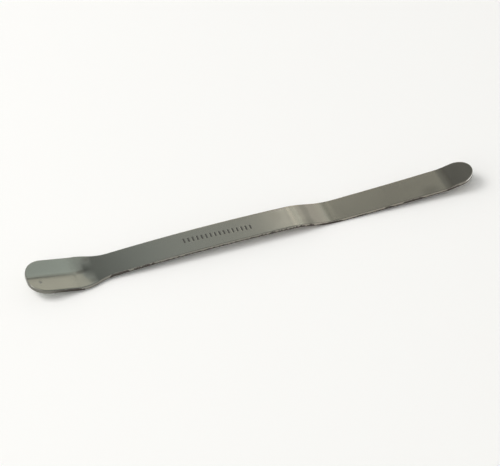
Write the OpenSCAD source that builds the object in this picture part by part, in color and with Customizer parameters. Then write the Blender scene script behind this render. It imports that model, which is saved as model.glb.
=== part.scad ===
// Lab spatula pressed from one strip of sheet steel: a shallow trough-shaped spoon at one end, a gently
// arched handle, a step down, and a flat blade with a round, upturned tip.
//
// Millimetres. +X runs along the strip from the spoon to the blade, +Y across it and +Z up. The strip lies
// as it comes to rest, on the heel behind the spoon and on the foot of the step. The origin is on the
// table, halfway between the two ends.

/* [Strip] */
// Width of the strip along the handle
strip_w = 9.5; // [6:0.1:12]
// Thickness of the sheet
strip_t = 1.2; // [0.8:0.05:2]
// Radius that rounds off the edges of the sheet
edge_r = 0.15; // [0.1:0.05:0.35]

/* [Spoon] */
// Width across the spoon
spoon_w = 14.2; // [12.4:0.1:20]
// Length from the tip of the spoon to the heel bend
spoon_l = 14.4; // [12:0.1:30]
// Length from the tip of the spoon to where its sides start to close in
spoon_side_l = 15.5; // [12:0.1:30]
// Radius of the two front corners
spoon_corner_r = 5.8; // [2:0.1:6]
// Depth of the trough, from its rims to its middle
trough_d = 0.5; // [0.2:0.1:2]
// Distance from the middle over which the crease of the trough is rounded
crease_w = 1.2; // [0.5:0.1:4]
// Length from the tip of the spoon to where the trough starts to fade
trough_l = 16.8; // [12:0.1:30]
// Length over which the trough fades out
trough_fade_l = 5; // [4:0.1:15]

/* [Heel] */
// Angle of the bend between the spoon and the handle
heel_angle = 16.2; // [10:0.1:30]
// Radius of that bend at mid-thickness
heel_r = 15.5; // [8:0.5:40]
// Length over which the sides close in from the spoon to the handle
neck_l = 12; // [8:0.5:20]

/* [Handle] */
// Length of the arched handle along the strip
handle_l = 68; // [50:0.5:120]
// Angle through which the handle arches
handle_arch_angle = 6.3; // [2:0.1:9]

/* [Step] */
// Angle of the bend at the top of the step
step_top_angle = 10.6; // [6:0.1:14]
// Angle of the bend at the foot of the step
step_foot_angle = 15.2; // [13:0.1:25]
// Radius of both bends at mid-thickness
step_r = 28; // [10:0.5:40]
// Length of the straight slope between them
step_l = 3.7; // [1:0.1:10]

/* [Blade] */
// Length of the flat of the blade
blade_l = 36.4; // [20:0.1:60]
// Width of the blade where its round end starts
blade_end_w = 9.9; // [7:0.1:13]
// Angle by which the tip is turned up
tip_angle = 10.2; // [2:0.1:30]
// Radius of that bend at mid-thickness
tip_r = 17.5; // [5:0.5:40]
// Length of the tip beyond its bend
tip_l = 8.5; // [7:0.1:20]
// Length of the round end
tip_round_l = 5.6; // [4:0.1:6.9]

/* [Hidden] */

// Length between the rows of facets along the spoon, and the turn of one facet on each round shape.
spoon_facet_l = 1;
corner_facet_angle = 15;
arch_facet_angle = 0.5;
bend_facet_angle = 2;
end_facet_angle = 9;
// Number of facets across each half of the spoon, and how far they crowd towards its crease.
spoon_half_facets = 6;
spoon_facet_power = 1.5;

// The strip as runs along its middle line, each with its length and the angle it turns up through.
function arc_l(r, angle) = r * angle * PI / 180;
runs = [
    [spoon_l, 0],
    [arc_l(heel_r, heel_angle), heel_angle],
    [handle_l, -handle_arch_angle],
    [arc_l(step_r, step_top_angle), -step_top_angle],
    [step_l, 0],
    [arc_l(step_r, step_foot_angle), step_foot_angle],
    [blade_l, 0],
    [arc_l(tip_r, tip_angle), tip_angle],
    [tip_l, 0],
];
HEEL = 1;
HANDLE = 2;
STEP_TOP = 3;
STEP_FOOT = 5;
BLADE = 6;
TIP_BEND = 7;

// A place on the middle line is [length so far, x, z, pitch]. A run leads from one place to the next.
function after(place, run) =
    let (a = place[3], b = a + run[1], r = run[1] == 0 ? 0 : run[0] * 180 / PI / run[1])
    [place[0] + run[0],
     place[1] + (run[1] == 0 ? run[0] * cos(a) : r * (sin(b) - sin(a))),
     place[2] + (run[1] == 0 ? run[0] * sin(a) : r * (cos(a) - cos(b))),
     b];
function place_after(start, count) =
    count == 0 ? start : after(place_after(start, count - 1), runs[count - 1]);
function places(start) = [for (i = [0 : len(runs)]) place_after(start, i)];
function bend_centre(place, r) = [place[1] - r * sin(place[3]), place[2] + r * cos(place[3])];

// At rest the strip touches the table with the undersides of the heel bend and of the bend at the foot of
// the step, so the table is the line under both of those circles.
heel_under_r = heel_r + strip_t / 2;
foot_under_r = step_r + strip_t / 2;
untilted = places([0, 0, 0, 0]);
span = bend_centre(untilted[STEP_FOOT], step_r) - bend_centre(untilted[HEEL], heel_r);
tilt = asin((foot_under_r - heel_under_r) / norm(span)) - atan2(span[1], span[0]);
tilted = places([0, 0, 0, tilt]);
strip_l = tilted[len(runs)][0];
lying = places([0, -tilted[len(runs)][1] / 2, heel_under_r - bend_centre(tilted[HEEL], heel_r)[1], tilt]);

function place_at(s, i = 0) =
    i < len(runs) - 1 && s > lying[i + 1][0]
    ? place_at(s, i + 1)
    : let (part = s - lying[i][0]) after(lying[i], [part, runs[i][1] * part / runs[i][0]]);

// Outline of the flat strip: at length s, the half width and the outward normal along and across.
neck_end = spoon_side_l + neck_l;
neck_drop = (spoon_w - strip_w) / 2;
neck_r = (neck_l * neck_l / neck_drop + neck_drop) / 4;
round_start = strip_l - tip_round_l;
end_r = blade_end_w / 2;
function leg(r, d) = sqrt(max(r * r - d * d, 0));
function side(s) =
    s < spoon_corner_r ? let (d = spoon_corner_r - s, h = leg(spoon_corner_r, d))
        [spoon_w / 2 - spoon_corner_r + h, -d / spoon_corner_r, h / spoon_corner_r] :
    s < spoon_side_l ? [spoon_w / 2, 0, 1] :
    s < spoon_side_l + neck_l / 2 ? let (d = s - spoon_side_l, h = leg(neck_r, d))
        [spoon_w / 2 - neck_r + h, d / neck_r, h / neck_r] :
    s < neck_end ? let (d = neck_end - s, h = leg(neck_r, d))
        [strip_w / 2 + neck_r - h, d / neck_r, h / neck_r] :
    s <= lying[BLADE][0] ? [strip_w / 2, 0, 1] :
    s <= round_start ? let (f = (s - lying[BLADE][0]) / (round_start - lying[BLADE][0]))
        [strip_w / 2 + f * (end_r - strip_w / 2), 0, 1] :
    let (d = (s - round_start) / tip_round_l, h = leg(1, d), n = norm([d * end_r, h * tip_round_l]))
        [h * end_r, d * end_r / n, h * tip_round_l / n];

// Trough of the spoon: a rounded crease with nearly flat sides that fades out over the heel.
function fade(f) = let (g = min(max(f, 0), 1)) 1 - g * g * (3 - 2 * g);
trough_scale = trough_d / (norm([spoon_w / 2, crease_w]) - crease_w);
function trough(s) = trough_scale * fade((s - trough_l) / trough_fade_l);
function lift(s, v) = trough(s) * (norm([v, crease_w]) - crease_w);
function roll(s, v) = atan(trough(s) * v / norm([v, crease_w]));

// Point of the bent strip at length s, v across the flat strip and h above mid-thickness.
function bent(s, v, h) =
    let (p = place_at(s), q = roll(s, v), up = lift(s, v) + h * cos(q))
    [p[1] - up * sin(p[3]), v - h * sin(q), p[2] + up * cos(p[3])];

// The rounded edge in levels from the upper face to the lower one, each [inset, height].
edge_levels = [
    for (a = [90, 45, 0]) [edge_r * (1 - cos(a)), strip_t / 2 - edge_r * (1 - sin(a))],
    for (a = [0, 45, 90]) [edge_r * (1 - cos(a)), edge_r * (1 - sin(a)) - strip_t / 2],
];
LAST = len(edge_levels) - 1;

// Point at length s on one level of the edge, where f goes from 1 at one side to -1 at the other.
function level_point(s, k, f) =
    let (e = side(s), inset = edge_levels[k][0])
    bent(s - inset * e[1], f * (e[0] - inset * e[2]), edge_levels[k][1]);

// Closed ring round the strip at length s: upper face, one edge, lower face, other edge.
function ring(s, shares) = [
    for (f = shares) level_point(s, 0, f),
    for (k = [1 : LAST - 1]) level_point(s, k, -1),
    for (f = shares) level_point(s, LAST, -f),
    for (k = [1 : LAST - 1]) level_point(s, LAST - k, 1),
];

// Shares of the half width at the points across the spoon, which crowd towards its crease, and across the
// rest of the strip, which is flat from edge to edge.
spoon_shares = [
    for (i = [-spoon_half_facets : spoon_half_facets])
        -sign(i) * pow(abs(i) / spoon_half_facets, spoon_facet_power)
];
flat_shares = [1, -1];
WIDE = len(spoon_shares) - 1;
SPOON_AROUND = 2 * (WIDE + LAST);
FLAT_AROUND = 2 * (1 + LAST);

// Lengths from a to b in equal parts, without the first.
function parts(a, b, count) = [for (i = [1 : count]) a + (b - a) * i / count];
function bend_parts(i) =
    parts(lying[i][0], lying[i + 1][0], max(1, ceil(abs(runs[i][1]) / bend_facet_angle)));

// Lengths at which the strip has a ring, in the spoon and in the flat rest of it. The last ring is just
// short of the round end's point, one third of a facet from it, where the end is cut off square.
spoon_end = max(neck_end, trough_l + trough_fade_l, lying[HANDLE][0]);
handle_end = lying[STEP_TOP][0];
spoon_stations = [
    for (a = [0 : corner_facet_angle : 90]) spoon_corner_r * (1 - cos(a)),
    each parts(spoon_corner_r, spoon_end, ceil((spoon_end - spoon_corner_r) / spoon_facet_l)),
];
flat_stations = [
    each parts(spoon_end, handle_end, ceil(handle_arch_angle / arch_facet_angle)),
    for (i = [STEP_TOP : TIP_BEND]) each bend_parts(i),
    for (a = [0 : end_facet_angle : 90 - end_facet_angle]) round_start + tip_round_l * sin(a),
    round_start + tip_round_l * sin(90 - end_facet_angle / 3),
];
SPOON_ROWS = len(spoon_stations);
ROWS = SPOON_ROWS + len(flat_stations);

// Number of the first point of the ring at row i.
function row_start(i) = min(i, SPOON_ROWS) * SPOON_AROUND + max(i - SPOON_ROWS, 0) * FLAT_AROUND;
// Number, within a flat ring, of the point that point q of the spoon's last ring leads to.
function flat_point(q) =
    let (half = floor(q / (WIDE + LAST)), r = q % (WIDE + LAST))
    half * (1 + LAST) + (r <= WIDE / 2 ? 0 : max(1, 1 + r - WIDE));
function next_point(i, q) = row_start(i + 1) + (i == SPOON_ROWS - 1 ? flat_point(q) : q);
// Faces between the rings at rows i and i + 1.
function row_faces(i) =
    let (around = i < SPOON_ROWS ? SPOON_AROUND : FLAT_AROUND)
    [for (q = [0 : around - 1])
        let (r = (q + 1) % around, a = row_start(i) + q, b = row_start(i) + r)
        let (c = next_point(i, r), d = next_point(i, q))
        each c == d ? [[a, b, c]] : [[a, b, c], [a, c, d]]];

// Number of the point at level k and share j on the spoon's front face.
function on_front(k, j) =
    k == 0 ? j :
    k == LAST ? 2 * WIDE + LAST - j :
    j == 0 ? SPOON_AROUND - k :
    j == WIDE ? WIDE + k :
    row_start(ROWS) + (k - 1) * (WIDE - 1) + j - 1;
front_faces = [
    for (k = [0 : LAST - 1]) for (j = [0 : WIDE - 1])
        let (a = on_front(k, j), b = on_front(k, j + 1))
        let (c = on_front(k + 1, j + 1), d = on_front(k + 1, j))
        each [[c, b, a], [d, c, a]],
];
// Faces of the tip's end, from level to level.
tip_start = row_start(ROWS - 1);
tip_faces = [
    for (k = [0 : LAST - 1])
        let (a = tip_start + (FLAT_AROUND - k) % FLAT_AROUND, b = tip_start + 1 + k)
        let (c = b + 1, d = tip_start + FLAT_AROUND - k - 1)
        each [[a, b, c], [a, c, d]],
];

module spatula() {
    color("silver") polyhedron(
        points = [
            for (s = spoon_stations) each ring(s, spoon_shares),
            for (s = flat_stations) each ring(s, flat_shares),
            for (k = [1 : LAST - 1]) for (j = [1 : WIDE - 1])
                level_point(spoon_stations[0], k, spoon_shares[j]),
        ],
        faces = [
            for (i = [0 : ROWS - 2]) each row_faces(i),
            each front_faces,
            each tip_faces,
        ]);
}

spatula();
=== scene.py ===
"""A lab spatula of satin sheet steel, lying on a pale table in soft light from the left.

Everything is in metres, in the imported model's own frame: +X runs along the strip from the spoon to the
blade, +Z is up, and the origin is on the table, halfway between the two ends.
"""
import math

import bpy
import numpy as np
from mathutils import Matrix, Vector


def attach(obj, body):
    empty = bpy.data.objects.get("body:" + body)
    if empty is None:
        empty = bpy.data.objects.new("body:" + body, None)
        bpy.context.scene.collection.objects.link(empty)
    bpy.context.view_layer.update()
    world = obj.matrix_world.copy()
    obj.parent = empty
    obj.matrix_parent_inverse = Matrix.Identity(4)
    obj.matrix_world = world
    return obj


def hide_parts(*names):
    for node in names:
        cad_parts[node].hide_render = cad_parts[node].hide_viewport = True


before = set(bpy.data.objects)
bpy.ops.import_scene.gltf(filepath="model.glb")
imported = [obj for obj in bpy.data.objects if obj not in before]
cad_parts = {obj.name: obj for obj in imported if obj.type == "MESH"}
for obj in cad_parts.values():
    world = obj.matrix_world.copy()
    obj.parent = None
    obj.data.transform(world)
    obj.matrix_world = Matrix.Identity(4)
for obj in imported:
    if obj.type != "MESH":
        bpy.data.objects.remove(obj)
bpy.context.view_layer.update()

MM = 0.001

# Sizes of the strip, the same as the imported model's.
STRIP_W = 9.5 * MM
STRIP_T = 1.2 * MM
EDGE_R = 0.15 * MM
SPOON_W = 14.2 * MM
SPOON_L = 14.4 * MM
SPOON_SIDE_L = 15.5 * MM
SPOON_CORNER_R = 5.8 * MM
TROUGH_D = 0.5 * MM
TROUGH_L = 16.8 * MM
TROUGH_FADE_L = 5 * MM
CREASE_W = 1.2 * MM
HEEL_ANGLE = math.radians(16.2)
HEEL_R = 15.5 * MM
NECK_L = 12 * MM
HANDLE_L = 68 * MM
HANDLE_ARCH_ANGLE = math.radians(6.3)
STEP_TOP_ANGLE = math.radians(10.6)
STEP_FOOT_ANGLE = math.radians(15.2)
STEP_R = 28 * MM
STEP_L = 3.7 * MM
BLADE_L = 36.4 * MM
BLADE_END_W = 9.9 * MM
TIP_ANGLE = math.radians(10.2)
TIP_R = 17.5 * MM
TIP_L = 8.5 * MM
TIP_ROUND_L = 5.6 * MM

# The used blade is bowed up a little, which comes off the bends at its two ends.
BLADE_BOW = math.radians(1.6)
BOW_OFF_FOOT = 0.55 * BLADE_BOW
BOW_OFF_TIP = 0.45 * BLADE_BOW

# The visible strip is set this far in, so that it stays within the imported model's box.
SEAT_X = 0.0025 * MM
SEAT_Z = 0.001 * MM

# How finely the visible strip is meshed.
ROW_L = 0.25 * MM
ROW_GAP = 0.02 * MM
CORNER_ROWS = 24
END_ROWS = 40
END_ANGLE = math.radians(86)
HALF_COLUMNS = 18
COLUMN_POWER = 1.3
ROUND_LEVELS = 6
WALL_LEVELS = 5

# Stamped row of plain strokes on the handle, slightly askew.
STROKE_COUNT = 16
STROKE_PITCH = 1.45 * MM
STROKE_W = 0.5 * MM
STROKE_H = 1.9 * MM
STROKE_D = 0.025 * MM
STROKE_RAMP = 0.12 * MM
STROKE_ROW_S = 62.3 * MM
STROKE_ROW_V = 0.05 * MM
STROKE_ROW_ANGLE = math.radians(-3.3)

# Small corrosion pit on the near side of the spoon.
PIT_S = 3.75 * MM
PIT_V = -2.6 * MM
PIT_R = 0.6 * MM
PIT_D = 0.03 * MM
PIT_STEEPNESS = 1.4

# Torn lower part of the sheared edge.
TEAR_D = 0.06 * MM
TEAR_L = 0.55 * MM
TEAR_SEED = 11

# Camera at the photograph's angle, in a frame of 500 by 466 pixels.
FRAME_W_PX = 500
VIEW_YAW = math.radians(19.72)
VIEW_AZIMUTH = 180
VIEW_ELEVATION = 43.5
VIEW_DISTANCE = 520 * MM
VIEW_CLIP = 10 * MM
PX_PER_MM = 3.13
ORIGIN_RIGHT_PX = 6.55
ORIGIN_UP_PX = 1.23
SENSOR_W = 36.0

# Middle line of the strip, as runs of a length and the angle that each turns up through.
RUNS = [
    (SPOON_L, 0.0),
    (HEEL_R * HEEL_ANGLE, HEEL_ANGLE),
    (HANDLE_L, -HANDLE_ARCH_ANGLE),
    (STEP_R * STEP_TOP_ANGLE, -STEP_TOP_ANGLE),
    (STEP_L, 0.0),
    (STEP_R * STEP_FOOT_ANGLE, STEP_FOOT_ANGLE - BOW_OFF_FOOT),
    (BLADE_L, BLADE_BOW),
    (TIP_R * TIP_ANGLE, TIP_ANGLE - BOW_OFF_TIP),
    (TIP_L, 0.0),
]
HEEL = 1
STEP_FOOT = 5
BLADE = 6
FOOT_R = RUNS[STEP_FOOT][0] / RUNS[STEP_FOOT][1]
STRIP_L = sum(length for length, _ in RUNS)


def after(place, length, turn):
    """Place (x, z, pitch) after one run that starts at another place."""
    x, z, pitch = place
    if turn == 0:
        return x + length * np.cos(pitch), z + length * np.sin(pitch), pitch
    r = length / turn
    end = pitch + turn
    return x + r * (np.sin(end) - np.sin(pitch)), z + r * (np.cos(pitch) - np.cos(end)), end


def places(start):
    """Places at the starts of all the runs, and the end of the last."""
    result = [start]
    for length, turn in RUNS:
        result.append(after(result[-1], length, turn))
    return result


def bend_centre(place, r):
    x, z, pitch = place
    return x - r * math.sin(pitch), z + r * math.cos(pitch)


def lying_places():
    """Places of the strip at rest on the undersides of its heel bend and of the foot of the step."""
    heel_under_r = HEEL_R + STRIP_T / 2
    foot_under_r = FOOT_R + STRIP_T / 2
    flat = places((0.0, 0.0, 0.0))
    heel_x, heel_z = bend_centre(flat[HEEL], HEEL_R)
    foot_x, foot_z = bend_centre(flat[STEP_FOOT], FOOT_R)
    reach = math.hypot(foot_x - heel_x, foot_z - heel_z)
    tilt = math.asin((foot_under_r - heel_under_r) / reach) - math.atan2(foot_z - heel_z, foot_x - heel_x)
    tilted = places((0.0, 0.0, tilt))
    start_z = heel_under_r - bend_centre(tilted[HEEL], HEEL_R)[1]
    return places((SEAT_X - tilted[-1][0] / 2, SEAT_Z + start_z, tilt))


LYING = lying_places()
RUN_STARTS = np.concatenate([[0.0], np.cumsum([length for length, _ in RUNS])])


def middle_line(s):
    """x, z and pitch of the middle line at each length in s."""
    x = np.zeros_like(s)
    z = np.zeros_like(s)
    pitch = np.zeros_like(s)
    run_of = np.clip(np.searchsorted(RUN_STARTS, s, side="right") - 1, 0, len(RUNS) - 1)
    for i, (length, turn) in enumerate(RUNS):
        here = run_of == i
        part = s[here] - RUN_STARTS[i]
        start_x, start_z, start_pitch = LYING[i]
        if turn == 0:
            x[here] = start_x + part * math.cos(start_pitch)
            z[here] = start_z + part * math.sin(start_pitch)
            pitch[here] = start_pitch
        else:
            r = length / turn
            end = start_pitch + part / r
            x[here] = start_x + r * (np.sin(end) - math.sin(start_pitch))
            z[here] = start_z + r * (math.cos(start_pitch) - np.cos(end))
            pitch[here] = end
    return x, z, pitch


def leg(r, d):
    """Other leg of a right triangle with hypotenuse r and one leg d."""
    return np.sqrt(np.maximum(r * r - d * d, 0.0))


def outline(s):
    """Half width of the flat strip at each length in s, and the outward normal along and across it."""
    neck_end = SPOON_SIDE_L + NECK_L
    neck_drop = (SPOON_W - STRIP_W) / 2
    neck_r = (NECK_L * NECK_L / neck_drop + neck_drop) / 4
    blade_start = RUN_STARTS[BLADE]
    end_start = STRIP_L - TIP_ROUND_L
    corner_d = SPOON_CORNER_R - s
    corner_h = leg(SPOON_CORNER_R, corner_d)
    out_d = s - SPOON_SIDE_L
    out_h = leg(neck_r, out_d)
    in_d = neck_end - s
    in_h = leg(neck_r, in_d)
    end_d = (s - end_start) / TIP_ROUND_L
    end_h = leg(1.0, end_d)
    end_normal = np.hypot(end_d * BLADE_END_W / 2, end_h * TIP_ROUND_L)
    share = (s - blade_start) / (end_start - blade_start)
    zero = np.zeros_like(s)
    one = np.ones_like(s)
    cases = [
        s < SPOON_CORNER_R,
        s < SPOON_SIDE_L,
        s < SPOON_SIDE_L + NECK_L / 2,
        s < neck_end,
        s <= blade_start,
        s <= end_start,
    ]
    half = np.select(cases, [
        SPOON_W / 2 - SPOON_CORNER_R + corner_h,
        one * SPOON_W / 2,
        SPOON_W / 2 - neck_r + out_h,
        STRIP_W / 2 + neck_r - in_h,
        one * STRIP_W / 2,
        (STRIP_W + share * (BLADE_END_W - STRIP_W)) / 2,
    ], end_h * BLADE_END_W / 2)
    along = np.select(cases, [
        -corner_d / SPOON_CORNER_R, zero, out_d / neck_r, in_d / neck_r, zero, zero,
    ], end_d * BLADE_END_W / 2 / end_normal)
    across = np.select(cases, [
        corner_h / SPOON_CORNER_R, one, out_h / neck_r, in_h / neck_r, one, one,
    ], end_h * TIP_ROUND_L / end_normal)
    return half, along, across


def trough(s):
    """Steepness of the spoon's trough, which fades out over the heel."""
    f = np.clip((s - TROUGH_L) / TROUGH_FADE_L, 0.0, 1.0)
    steepness = TROUGH_D / (math.hypot(SPOON_W / 2, CREASE_W) - CREASE_W)
    return steepness * (1 - f * f * (3 - 2 * f))


def bent(s, v, h):
    """Points of the bent strip at length s, v across the flat strip and h above mid-thickness."""
    x, z, pitch = middle_line(s)
    away = np.hypot(v, CREASE_W)
    roll = np.arctan(trough(s) * v / away)
    up = trough(s) * (away - CREASE_W) + h * np.cos(roll)
    return np.stack([x - up * np.sin(pitch), v - h * np.sin(roll), z + up * np.cos(pitch)], axis=-1)


def ramp_box(distance, half, ramp):
    """1 within half of a middle, 0 beyond it, with a straight ramp between."""
    return np.clip((half - np.abs(distance)) / ramp + 0.5, 0.0, 1.0)


def stroke_centres():
    offsets = (np.arange(STROKE_COUNT) - (STROKE_COUNT - 1) / 2) * STROKE_PITCH
    return [(STROKE_ROW_S + d * math.cos(STROKE_ROW_ANGLE), STROKE_ROW_V + d * math.sin(STROKE_ROW_ANGLE))
            for d in offsets]


def stroke_mask(s, v):
    mask = np.zeros_like(s)
    for centre_s, centre_v in stroke_centres():
        wide = ramp_box(s - centre_s, STROKE_W / 2, STROKE_RAMP)
        high = ramp_box(v - centre_v, STROKE_H / 2, STROKE_RAMP)
        mask = np.maximum(mask, wide * high)
    return mask


def pit_mask(s, v):
    return np.clip(PIT_STEEPNESS * (1 - np.hypot(s - PIT_S, v - PIT_V) / PIT_R), 0.0, 1.0)


def tear_depths(s, seed):
    """Uneven depth of the torn edge at each length, from 0 to 1."""
    count = int(STRIP_L / TEAR_L) + 2
    knots = np.random.default_rng(seed).random(count) ** 2
    return np.interp(s, np.arange(count) * TEAR_L, knots)


def row_lengths():
    """Lengths of the rows of points from spoon to blade, closer where the outline or the relief needs it."""
    corner = SPOON_CORNER_R * (1 - np.cos(np.linspace(0, math.pi / 2, CORNER_ROWS, endpoint=False)))
    middle = np.arange(SPOON_CORNER_R, STRIP_L - TIP_ROUND_L, ROW_L)
    end = STRIP_L - TIP_ROUND_L * (1 - np.sin(np.linspace(0, END_ANGLE, END_ROWS)))
    offsets = STROKE_W / 2 + STROKE_RAMP * np.array([-0.5, 0.5])
    strokes = [s + sign * d for s, _ in stroke_centres() for d in offsets for sign in (-1, 1)]
    rows = [0.0]
    for s in np.sort(np.concatenate([corner, middle, end, strokes])):
        if s - rows[-1] > ROW_GAP:
            rows.append(float(s))
    return np.array(rows)


def edge_levels():
    """The edge from the upper face to the lower one, as (inset, height, share of tearing)."""
    quarter = np.linspace(math.pi / 2, 0, ROUND_LEVELS + 1)
    flat = STRIP_T / 2 - EDGE_R
    upper = [(EDGE_R * (1 - math.cos(a)), flat + EDGE_R * math.sin(a), 0.0) for a in quarter]
    wall = [(0.0, h, 1.0) for h in np.linspace(flat, -flat, WALL_LEVELS + 2)[1:-1]]
    lower = [(EDGE_R * (1 - math.cos(a)), -flat - EDGE_R * math.sin(a), math.cos(a)) for a in quarter[::-1]]
    return upper + wall + lower


def strip_faces(row_count, wide, last):
    """Faces round each pair of rows and over the two end rows, wide faces across and last faces high."""
    around = 2 * (wide + last)
    first_inner = row_count * around
    inner = (wide - 1) * (last - 1)

    def on_end(i, k, j):
        """Number of the point at level k and column j on the end face at row i."""
        if k == 0:
            return i * around + j
        if k == last:
            return i * around + 2 * wide + last - j
        if j == 0:
            return i * around + around - k
        if j == wide:
            return i * around + wide + k
        return first_inner + (0 if i == 0 else inner) + (k - 1) * (wide - 1) + j - 1

    faces = []
    for i in range(row_count - 1):
        for q in range(around):
            a = i * around + q
            b = i * around + (q + 1) % around
            faces.append((a, a + around, b + around, b))
    for i in (0, row_count - 1):
        for k in range(last):
            for j in range(wide):
                face = (on_end(i, k, j), on_end(i, k, j + 1), on_end(i, k + 1, j + 1), on_end(i, k + 1, j))
                faces.append(face if i == 0 else face[::-1])
    return faces


def add_attribute(mesh, name, kind, field, values):
    """Add a value at each point of a mesh, for the material to read."""
    attribute = mesh.attributes.new(name, kind, "POINT")
    attribute.data.foreach_set(field, values.astype(np.float32).ravel())


def strip_mesh(name):
    """Closed mesh of the whole strip, with its flat coordinates and its marks as point attributes."""
    rows = row_lengths()
    levels = edge_levels()
    steps = np.linspace(-1, 1, 2 * HALF_COLUMNS + 1)
    shares = -np.sign(steps) * np.abs(steps) ** COLUMN_POWER
    last = len(levels) - 1
    wide = len(shares) - 1
    half, along, across = outline(rows)
    tears = {1: tear_depths(rows, TEAR_SEED), -1: tear_depths(rows, TEAR_SEED + 1)}

    def level_points(pick, k, f):
        """Points and attributes of the rows in pick on level k, at share f of the half width."""
        inset, h, tearing = levels[k]
        inset = inset + TEAR_D * tearing * tears[1 if f > 0 else -1][pick] * abs(f)
        s = rows[pick] - inset * along[pick]
        v = f * (half[pick] - inset * across[pick])
        stroke = np.zeros_like(s)
        pit = np.zeros_like(s)
        if k == 0:
            stroke = stroke_mask(s, v)
            pit = pit_mask(s, v)
        top = h - STROKE_D * stroke - PIT_D * pit
        flat = np.stack([s, v, np.full_like(s, h)], axis=-1) / MM
        return bent(s, v, top), flat, stroke, pit

    every = np.arange(len(rows))
    ring_places = [(0, f) for f in shares]
    ring_places += [(k, -1.0) for k in range(1, last)]
    ring_places += [(last, -f) for f in shares]
    ring_places += [(last - k, 1.0) for k in range(1, last)]
    rings = [level_points(every, k, f) for k, f in ring_places]
    ends = [level_points(np.array([i]), k, f) for i in (0, len(rows) - 1)
            for k in range(1, last) for f in shares[1:-1]]
    columns = []
    for item in range(len(rings[0])):
        ring = np.stack([r[item] for r in rings], axis=1)
        ring = ring.reshape((-1,) + ring.shape[2:])
        columns.append(np.concatenate([ring] + [e[item] for e in ends]))
    points, flat, stroke, pit = columns

    mesh = bpy.data.meshes.new(name)
    mesh.from_pydata(points.tolist(), [], strip_faces(len(rows), wide, last))
    add_attribute(mesh, "flat", "FLOAT_VECTOR", "vector", flat)
    add_attribute(mesh, "stroke", "FLOAT", "value", stroke)
    add_attribute(mesh, "pit", "FLOAT", "value", pit)
    mesh.shade_smooth()
    return mesh


class Nodes:
    """Short way to add and link shader nodes in one tree."""

    # Sockets of a mix node for colours, which come after those for numbers and vectors.
    COLOR_A = 6
    COLOR_B = 7
    COLOR_RESULT = 2

    def __init__(self, tree):
        self.tree = tree
        tree.nodes.clear()

    def add(self, kind, inputs=(), **settings):
        node = self.tree.nodes.new(kind)
        for name, value in settings.items():
            setattr(node, name, value)
        for socket, value in dict(inputs).items():
            self.feed(node.inputs[socket], value)
        return node

    def feed(self, socket, value):
        if isinstance(value, bpy.types.NodeSocket):
            self.tree.links.new(value, socket)
        else:
            socket.default_value = value

    def math(self, operation, *values):
        node = self.add("ShaderNodeMath", operation=operation)
        for socket, value in zip(node.inputs, values):
            self.feed(socket, value)
        return node.outputs[0]

    def times(self, first, *others):
        """Product of two or more values."""
        product = first
        for value in others:
            product = self.math("MULTIPLY", product, value)
        return product

    def vector(self, operation, *values):
        node = self.add("ShaderNodeVectorMath", operation=operation)
        for socket, value in zip(node.inputs, values):
            self.feed(socket, value)
        return node

    def scaled(self, vector, scale):
        return self.vector("MULTIPLY", vector, scale).outputs["Vector"]

    def ramp(self, value, start, end, low=0.0, high=1.0):
        """Smooth step of a value from low to high between start and end."""
        node = self.add("ShaderNodeMapRange", interpolation_type="SMOOTHSTEP", inputs={
            "Value": value, "From Min": start, "From Max": end, "To Min": low, "To Max": high})
        return node.outputs["Result"]

    def band(self, value, start, start_full, end_full, end):
        """Smooth step of a value from 0 up to 1, and back down to 0 further on."""
        return self.math("SUBTRACT", self.ramp(value, start, start_full), self.ramp(value, end_full, end))

    def mix(self, factor, a, b):
        """Mix of two colours, each the output of a node or its red, green and blue."""
        node = self.add("ShaderNodeMix", data_type="RGBA", inputs={"Factor": factor})
        for socket, color in ((self.COLOR_A, a), (self.COLOR_B, b)):
            if isinstance(color, tuple):
                color = color + (1.0,)
            self.feed(node.inputs[socket], color)
        return node.outputs[self.COLOR_RESULT]

    def noise(self, vector, scale, detail=2.0, roughness=0.5):
        node = self.add("ShaderNodeTexNoise", inputs={
            "Vector": vector, "Scale": scale, "Detail": detail, "Roughness": roughness})
        return node.outputs["Fac"]


# In the steel's finish, lengths are in millimetres from the end of the spoon, sides in millimetres from the
# middle of the strip and heights in millimetres from mid-thickness. A ramp is where it starts and ends, and
# then its two values. A band is where it starts, is full, is full to and ends.

# Colours of the steel, of its dirt and wear, and of the shade and highlights painted on it.
SPOON_STEEL = (0.49, 0.51, 0.46)
BLADE_STEEL = (0.545, 0.515, 0.445)
BLADE_SHADE_STEEL = (0.48, 0.445, 0.367)
BLADE_END_SHADE_STEEL = (0.408, 0.374, 0.31)
SHADE_AND_SPOT_STEEL = (0.22, 0.2, 0.165)
CREASE_SHADE = (0.27, 0.255, 0.215)
SMUDGED_STEEL = (0.38, 0.385, 0.34)
GRAIN_STEEL = (0.38, 0.385, 0.35)
WALL_STEEL = (0.2, 0.19, 0.165)
SPOON_WALL_STEEL = (0.09, 0.088, 0.076)
GLINT_STEEL = (0.84, 0.83, 0.8)
TORN_AND_SHADE_STEEL = (0.035, 0.026, 0.02)
STROKE_DIRT = (0.03, 0.029, 0.027)
PIT_DIRT = (0.06, 0.05, 0.04)

# How much of the steel each kind of wear, dirt and painted shade covers.
SMUDGE_SHARE = 0.2
GRAIN_SHARE = 0.2
TORN_AND_SHADE_SHARE = 0.95
STROKE_SHARE = 0.92
PIT_SHARE = 0.85

# The steel is greener at the spoon and warmer at the blade. Over the blade it is painted darker and warmer
# as shade, more so towards its end, and painted shade darkens its near side.
WARM_RAMP = (30.0, 95.0)
BLADE_SHADE_BAND = (98.0, 99.8, 141.5, 143.5)
BLADE_END_SHADE_RAMP = (104.0, 126.0)
NEAR_SIDE_SHADE_RAMP = (4.0, -4.0, 0.0, 0.16)
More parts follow.
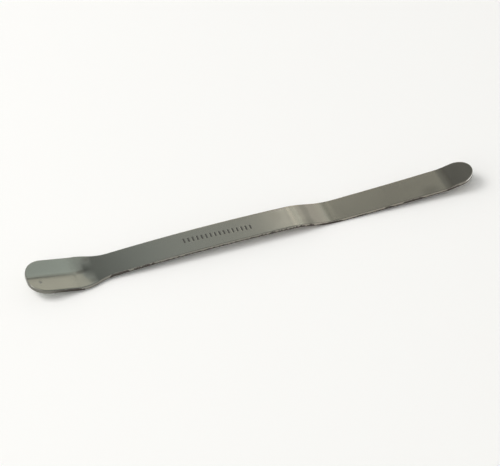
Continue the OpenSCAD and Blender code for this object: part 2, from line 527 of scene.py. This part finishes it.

# Bands of painted highlight and shade across the strip, each with its share and its colour: a painted tone
# over the step, a painted highlight on its crest, and painted shade past the crest, on the foot of the step
# and on the bend at the tip. Their borders wander along the strip, over BORDER_WANDER in all.
BEND_SHADE_AND_HIGHLIGHT_BANDS = [
    (86.0, 88.5, 97.5, 99.5, 1.0, (0.575, 0.515, 0.44)),
    (86.0, 87.6, 88.9, 90.4, 1.0, (0.75, 0.7, 0.6)),
    (90.4, 92.0, 92.8, 94.0, 0.5, (0.345, 0.32, 0.27)),
    (98.8, 100.2, 101.8, 103.4, 0.6, (0.29, 0.275, 0.23)),
    (139.2, 140.6, 141.4, 142.8, 0.6, (0.25, 0.235, 0.2)),
]
BORDER_WANDER = 1.5

# Faint darker spots: their length and side, their reach along and across the strip, and their share. The
# first is a darker patch on the near side of the blade; the others, at the step's top bend, on the handle
# before the step, at the end of the spoon's crease and beside the heel, are painted shade.
SPOTS = [
    (134.8, -3.6, 4.6, 3.4, 0.62),
    (91.8, -4.2, 3.6, 3.6, 0.34),
    (82.3, 2.2, 3.2, 4.2, 0.2),
    (17.2, 0.1, 2.4, 1.6, 0.5),
    (20.2, 4.9, 1.8, 1.6, 0.42),
    (20.2, -4.9, 1.8, 1.6, 0.36),
]

# Painted shade along the crease of the spoon, by its distance from the crease and by its length.
CREASE_SIDE = 0.3
CREASE_RAMP = (0.9, 0.2)
CREASE_START_RAMP = (0.0, 9.0, 0.1, 0.35)
CREASE_END_RAMP = (21.0, 17.0)

# The sheared wall of the edge, between the upper face and the underside, and how dark it is. It is painted
# darker than the face, partly as duller sheared steel and partly as painted shade; the darker stretch before
# the tip and the darkest wall at the spoon are painted shade.
WALL_TOP_RAMP = (0.6, 0.56)
WALL_FOOT_RAMP = (-0.6, -0.5)
WALL_HANDLE_RAMP = (22.0, 34.0, 0.78, 0.8)
WALL_BLADE_RAMP = (84.0, 96.0, 0.0, 0.35)
WALL_TIP_BAND = (138.0, 140.5, 146.0, 148.0)
WALL_TIP_SHARE = 0.4
WALL_SPOON_RAMP = (15.0, 9.0, 0.0, 0.38)

# Part of the wall at the near side of the tip with a painted glint on it.
GLINT_BAND = (146.4, 148.6, 150.2, 150.9)
GLINT_FOOT_RAMP = (-0.15, 0.1)
GLINT_TOP_RAMP = (0.58, 0.5)
GLINT_SIDE_RAMP = (-0.8, -1.8)

# Height of the uneven line below which the wall is torn and painted near-black, partly as torn steel and
# partly as painted shade at the foot of the edge.
TEAR_SCALE = (0.6, 0.0, 0.0)
TEAR_NOISE_RAMP = (0.4, 0.6)
TEAR_LOW = -0.32
TEAR_HIGH = 0.4
TEAR_LIMIT = 0.48
TEAR_BLUR = 0.06
TEAR_START_RAMP = (4.0, 12.0)

# Bands where the line is more even, and how far its crests are lower there.
EVEN_TEARS = [
    (38.0, 45.0, 73.0, 78.0, 0.32),
    (92.0, 97.0, 155.0, 160.0, 0.5),
]

# Bands where the line is higher, or under the neck so much lower that nothing is torn, and by how much.
RAISED_TEARS = [
    (5.5, 7.5, 14.2, 16.0, 0.6),
    (16.5, 17.5, 24.5, 26.0, -0.9),
    (25.0, 26.5, 30.5, 32.0, 0.7),
    (33.0, 34.5, 38.0, 42.0, 0.3),
    (95.5, 97.0, 102.0, 104.0, 0.5),
    (108.0, 109.0, 111.2, 112.4, 0.2),
    (117.6, 118.6, 120.4, 121.4, 0.45),
    (124.0, 125.2, 130.4, 132.2, 0.5),
    (139.2, 140.6, 143.6, 145.0, 0.45),
]

# Scales of the lengthwise grain, of the smudges and of the torn part's specks.
GRAIN_SCALE = (0.25, 6.0, 6.0)
FINE_GRAIN_SCALE = (1.5, 18.0, 18.0)
SMUDGE_SCALE = 0.16
SPECK_SCALE = 2.2

# Roughness and relief, with the bends that the pressing has left duller.
SMUDGE_ROUGH_RAMP = (0.3, 0.7, 0.12, 0.15)
GRAIN_ROUGH = 0.04
DIRT_ROUGH = 0.3
DULL_ROUGH = 0.055
DULL_BENDS = [
    (12.0, 15.0, 17.0, 20.0),
    (84.5, 88.0, 101.5, 104.5),
]
DIRT_COVER = 0.8
GRAIN_RELIEF = 0.6
FINE_GRAIN_RELIEF = 0.4
TORN_RELIEF = 6.0
RELIEF_STRENGTH = 0.25
RELIEF_D = 0.012 * MM


def torn_part(nodes, flat, length, height):
    """Where the edge is torn: the lower part of the sheared wall, below an uneven line."""
    line = nodes.noise(nodes.scaled(flat, TEAR_SCALE), 1.0, detail=3.0, roughness=0.7)
    high = TEAR_HIGH
    for *band, lowered in EVEN_TEARS:
        high = nodes.math("MULTIPLY_ADD", nodes.band(length, *band), -lowered, high)
    level = nodes.ramp(line, *TEAR_NOISE_RAMP, TEAR_LOW, high)
    for *band, raised in RAISED_TEARS:
        level = nodes.math("MULTIPLY_ADD", nodes.band(length, *band), raised, level)
    depth = nodes.math("SUBTRACT", nodes.math("MINIMUM", level, TEAR_LIMIT), height)
    below = nodes.ramp(depth, -TEAR_BLUR, TEAR_BLUR)
    above_underside = nodes.ramp(height, *WALL_FOOT_RAMP)
    return nodes.times(below, above_underside, nodes.ramp(length, *TEAR_START_RAMP))


def face_color(nodes, flat, length, side, smudge, grain):
    """Colour of the flat steel: painted shade and highlights in its bands, spots and crease, and its smudges
    and grain.
    """
    plain = nodes.mix(nodes.ramp(length, *WARM_RAMP), SPOON_STEEL, BLADE_STEEL)
    # Painted shade over the blade, darker towards its end and towards its near side.
    blade_shade = nodes.mix(nodes.ramp(length, *BLADE_END_SHADE_RAMP), BLADE_SHADE_STEEL, BLADE_END_SHADE_STEEL)
    near_shaded = nodes.mix(nodes.ramp(side, *NEAR_SIDE_SHADE_RAMP), blade_shade, SHADE_AND_SPOT_STEEL)
    color = nodes.mix(nodes.band(length, *BLADE_SHADE_BAND), plain, near_shaded)

    unevenness = nodes.math("SUBTRACT", smudge, 0.5)
    uneven_length = nodes.math("MULTIPLY_ADD", unevenness, BORDER_WANDER, length)
    # Painted highlight on the crest of the step, and painted shade on the bends around it and at the tip.
    for *band, share, band_color in BEND_SHADE_AND_HIGHLIGHT_BANDS:
        color = nodes.mix(nodes.times(nodes.band(uneven_length, *band), share), color, band_color)

    # Painted shade spots, and one darker patch on the blade.
    for spot_length, spot_side, reach_along, reach_across, share in SPOTS:
        offset = nodes.vector("SUBTRACT", flat, (spot_length, spot_side, 0.0)).outputs["Vector"]
        in_reaches = nodes.scaled(offset, (1 / reach_along, 1 / reach_across, 0.0))
        spot = nodes.ramp(nodes.vector("LENGTH", in_reaches).outputs["Value"], 1.0, 0.0)
        color = nodes.mix(nodes.times(spot, share), color, SHADE_AND_SPOT_STEEL)

    # Painted shade along the spoon's crease.
    from_crease = nodes.math("ABSOLUTE", nodes.math("SUBTRACT", side, CREASE_SIDE))
    crease_length = nodes.times(nodes.ramp(length, *CREASE_START_RAMP), nodes.ramp(length, *CREASE_END_RAMP))
    color = nodes.mix(nodes.times(nodes.ramp(from_crease, *CREASE_RAMP), crease_length), color, CREASE_SHADE)
    color = nodes.mix(nodes.times(smudge, SMUDGE_SHARE), color, SMUDGED_STEEL)
    return nodes.mix(nodes.times(grain, GRAIN_SHARE), color, GRAIN_STEEL)


def wall_color(nodes, length, side, height, face):
    """Colour of the face and of the darker sheared wall, partly painted shade, with a painted glint at the
    tip.
    """
    wall = nodes.times(nodes.ramp(height, *WALL_TOP_RAMP), nodes.ramp(height, *WALL_FOOT_RAMP))
    handle_share = nodes.ramp(length, *WALL_HANDLE_RAMP)
    blade_share = nodes.math("SUBTRACT", handle_share, nodes.ramp(length, *WALL_BLADE_RAMP))
    share = nodes.math("MULTIPLY_ADD", nodes.band(length, *WALL_TIP_BAND), WALL_TIP_SHARE, blade_share)
    # Darker sheared wall: partly duller steel, partly painted shade, more of it just before the tip.
    color = nodes.mix(nodes.times(wall, share), face, WALL_STEEL)
    # Painted shade on the wall of the spoon.
    color = nodes.mix(nodes.times(wall, nodes.ramp(length, *WALL_SPOON_RAMP)), color, SPOON_WALL_STEEL)
    # Painted glint on the wall at the near side of the tip.
    glint_height = nodes.times(nodes.ramp(height, *GLINT_FOOT_RAMP), nodes.ramp(height, *GLINT_TOP_RAMP))
    glint_side = nodes.ramp(side, *GLINT_SIDE_RAMP)
    glint = nodes.times(nodes.band(length, *GLINT_BAND), glint_height, glint_side)
    return nodes.mix(glint, color, GLINT_STEEL)


def steel_material():
    """Satin sheet steel with lengthwise grain, handling smudges, a dark torn edge, and painted shade and
    highlights.
    """
    material = bpy.data.materials.new("satin_steel")
    material.use_nodes = True
    nodes = Nodes(material.node_tree)
    flat = nodes.add("ShaderNodeAttribute", attribute_name="flat").outputs["Vector"]
    stroke = nodes.add("ShaderNodeAttribute", attribute_name="stroke").outputs["Fac"]
    pit = nodes.add("ShaderNodeAttribute", attribute_name="pit").outputs["Fac"]
    place = nodes.add("ShaderNodeSeparateXYZ", inputs={"Vector": flat})
    length = place.outputs["X"]
    side = place.outputs["Y"]
    height = place.outputs["Z"]
    grain = nodes.noise(nodes.scaled(flat, GRAIN_SCALE), 1.0, detail=3.0, roughness=0.6)
    fine_grain = nodes.noise(nodes.scaled(flat, FINE_GRAIN_SCALE), 1.0)
    smudge = nodes.noise(flat, SMUDGE_SCALE, detail=3.0, roughness=0.55)
    speck = nodes.noise(flat, SPECK_SCALE)

    torn = torn_part(nodes, flat, length, height)
    filled = nodes.ramp(stroke, 0.0, 0.5)
    face = face_color(nodes, flat, length, side, smudge, grain)
    color = wall_color(nodes, length, side, height, face)
    # The torn foot of the wall is near-black: partly torn steel, partly painted shade.
    color = nodes.mix(nodes.times(torn, TORN_AND_SHADE_SHARE), color, TORN_AND_SHADE_STEEL)
    color = nodes.mix(nodes.times(filled, STROKE_SHARE), color, STROKE_DIRT)
    color = nodes.mix(nodes.times(pit, PIT_SHARE), color, PIT_DIRT)

    dirt = nodes.math("MAXIMUM", nodes.math("MAXIMUM", torn, filled), pit)
    rough = nodes.math("MULTIPLY_ADD", grain, GRAIN_ROUGH, nodes.ramp(smudge, *SMUDGE_ROUGH_RAMP))
    rough = nodes.math("MULTIPLY_ADD", dirt, DIRT_ROUGH, rough)
    for band in DULL_BENDS:
        rough = nodes.math("MULTIPLY_ADD", nodes.band(length, *band), DULL_ROUGH, rough)
    bare = nodes.math("MULTIPLY_ADD", dirt, -DIRT_COVER, 1.0)

    grain_relief = nodes.times(grain, GRAIN_RELIEF)
    relief = nodes.math("MULTIPLY_ADD", fine_grain, FINE_GRAIN_RELIEF, grain_relief)
    relief = nodes.math("ADD", relief, nodes.times(speck, torn, TORN_RELIEF))
    bump = nodes.add("ShaderNodeBump", inputs={
        "Strength": RELIEF_STRENGTH, "Distance": RELIEF_D, "Height": relief})
    surface = nodes.add("ShaderNodeBsdfPrincipled", inputs={
        "Base Color": color, "Metallic": bare, "Roughness": rough, "Normal": bump.outputs["Normal"]})
    nodes.add("ShaderNodeOutputMaterial", inputs={"Surface": surface.outputs["BSDF"]})
    return material


# Pale table top, with faint clouds.
FLOOR_HALF = 3.0
FLOOR_DARK = (0.93, 0.93, 0.93)
FLOOR_PALE = (0.945, 0.945, 0.945)
FLOOR_CLOUD_SCALE = 6.0
FLOOR_ROUGH = 0.7
FLOOR_SPECULAR = 0.2


def floor_material():
    """Smooth pale table top."""
    material = bpy.data.materials.new("pale_table")
    material.use_nodes = True
    nodes = Nodes(material.node_tree)
    place = nodes.add("ShaderNodeTexCoord").outputs["Object"]
    cloud = nodes.noise(place, FLOOR_CLOUD_SCALE, detail=3.0)
    surface = nodes.add("ShaderNodeBsdfPrincipled", inputs={
        "Base Color": nodes.mix(cloud, FLOOR_DARK, FLOOR_PALE),
        "Roughness": FLOOR_ROUGH, "Specular IOR Level": FLOOR_SPECULAR})
    nodes.add("ShaderNodeOutputMaterial", inputs={"Surface": surface.outputs["BSDF"]})
    return material


VIEW_RIGHT = Vector((math.cos(VIEW_YAW), -math.sin(VIEW_YAW), 0.0))
VIEW_BACK = Vector((math.sin(VIEW_YAW), math.cos(VIEW_YAW), 0.0))


def direction(azimuth, elevation):
    """Unit vector, with the azimuth in degrees to the right of straight behind the object."""
    a = math.radians(azimuth)
    e = math.radians(elevation)
    level = VIEW_BACK * math.cos(a) + VIEW_RIGHT * math.sin(a)
    return level * math.cos(e) + Vector((0.0, 0.0, math.sin(e)))


# Surroundings: pale at the horizon, grey above it, and darker high up on the camera's side.
HORIZON_COLOR = (0.80, 0.80, 0.80)
SKY_COLOR = (0.385, 0.395, 0.385)
SKY_RAMP = (0.1, 0.62)
FRONT_COLOR = (0.16, 0.16, 0.157)
FRONT_RAMP = (0.15, -0.25)
FRONT_HEIGHT_RAMP = (0.2, 0.5)

# Soft areas of the surroundings: azimuth, elevation, inner and outer radius in degrees, and colour.
AREAS = [
    (-110, 45, 33, 58, (1.5, 1.485, 1.44)),
    (-36, 51, 4, 20, (0.03, 0.03, 0.03)),
    (2.8, 24, 10.5, 13.5, (0.735, 0.69, 0.61)),
    (-5, 34, 4, 7.5, (0.69, 0.65, 0.575)),
    (5.7, 35.6, 1, 4.5, (0.06, 0.06, 0.055)),
    (5.7, 40.9, 1.3, 3.0, (1.34, 1.32, 1.23)),
    (19.4, 38.2, 4.8, 8.5, (0.635, 0.69, 0.655)),
    (7.5, 49.5, 2, 7.5, (0.455, 0.49, 0.465)),
]


def make_world():
    """Surroundings that the steel mirrors, with a few soft lighter and darker areas."""
    world = bpy.data.worlds.new("studio")
    bpy.context.scene.world = world
    world.use_nodes = True
    nodes = Nodes(world.node_tree)
    toward = nodes.add("ShaderNodeTexCoord").outputs["Generated"]
    up = nodes.add("ShaderNodeSeparateXYZ", inputs={"Vector": toward}).outputs["Z"]
    color = nodes.mix(nodes.ramp(up, *SKY_RAMP), HORIZON_COLOR, SKY_COLOR)
    behind = nodes.vector("DOT_PRODUCT", toward, VIEW_BACK).outputs["Value"]
    front = nodes.times(nodes.ramp(behind, *FRONT_RAMP), nodes.ramp(up, *FRONT_HEIGHT_RAMP))
    color = nodes.mix(front, color, FRONT_COLOR)
    for azimuth, elevation, inner, outer, area_color in AREAS:
        facing = nodes.vector("DOT_PRODUCT", toward, direction(azimuth, elevation)).outputs["Value"]
        inside = nodes.ramp(facing, math.cos(math.radians(outer)), math.cos(math.radians(inner)))
        color = nodes.mix(inside, color, area_color)
    background = nodes.add("ShaderNodeBackground", inputs={"Color": color, "Strength": 1.0})
    nodes.add("ShaderNodeOutputWorld", inputs={"Surface": background.outputs["Background"]})


def add_object(name, data):
    thing = bpy.data.objects.new(name, data)
    bpy.context.scene.collection.objects.link(thing)
    return thing


# Round soft light from the left: its place in degrees and metres, its size in metres, its power in watts.
KEY_AZIMUTH = -88
KEY_ELEVATION = 49
KEY_DISTANCE = 1.2
KEY_SIZE = 0.6
KEY_POWER = 5.2
KEY_COLOR = (1.0, 0.985, 0.96)


def make_light():
    """Key light that shines on the origin."""
    lamp = bpy.data.lights.new("key", "AREA")
    lamp.shape = "DISK"
    lamp.size = KEY_SIZE
    lamp.energy = KEY_POWER
    lamp.color = KEY_COLOR
    light = add_object("key", lamp)
    toward = direction(KEY_AZIMUTH, KEY_ELEVATION)
    light.location = toward * KEY_DISTANCE
    light.rotation_euler = toward.to_track_quat("Z", "Y").to_euler()


def make_floor():
    mesh = bpy.data.meshes.new("table")
    corners = [(-FLOOR_HALF, -FLOOR_HALF, 0), (FLOOR_HALF, -FLOOR_HALF, 0),
               (FLOOR_HALF, FLOOR_HALF, 0), (-FLOOR_HALF, FLOOR_HALF, 0)]
    mesh.from_pydata(corners, [], [(0, 1, 2, 3)])
    floor = add_object("table", mesh)
    floor.data.materials.append(floor_material())


def make_camera():
    camera_data = bpy.data.cameras.new("view")
    camera_data.sensor_width = SENSOR_W
    camera_data.lens = PX_PER_MM / MM * VIEW_DISTANCE * SENSOR_W / FRAME_W_PX
    camera_data.clip_start = VIEW_CLIP
    camera = add_object("view", camera_data)
    forward = -direction(VIEW_AZIMUTH, VIEW_ELEVATION)
    up = VIEW_RIGHT.cross(forward)
    aim = -(VIEW_RIGHT * ORIGIN_RIGHT_PX + up * ORIGIN_UP_PX) * (MM / PX_PER_MM)
    turn = Matrix((VIEW_RIGHT, up, -forward)).transposed().to_4x4()
    camera.matrix_world = Matrix.Translation(aim - forward * VIEW_DISTANCE) @ turn
    bpy.context.scene.camera = camera


def make_spatula():
    spatula = add_object("spatula_steel", strip_mesh("spatula_steel"))
    spatula.data.materials.append(steel_material())
    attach(spatula, "root")
    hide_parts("spatula")


bpy.context.scene.view_settings.view_transform = "Standard"
make_camera()
make_world()
make_light()
make_floor()
make_spatula()
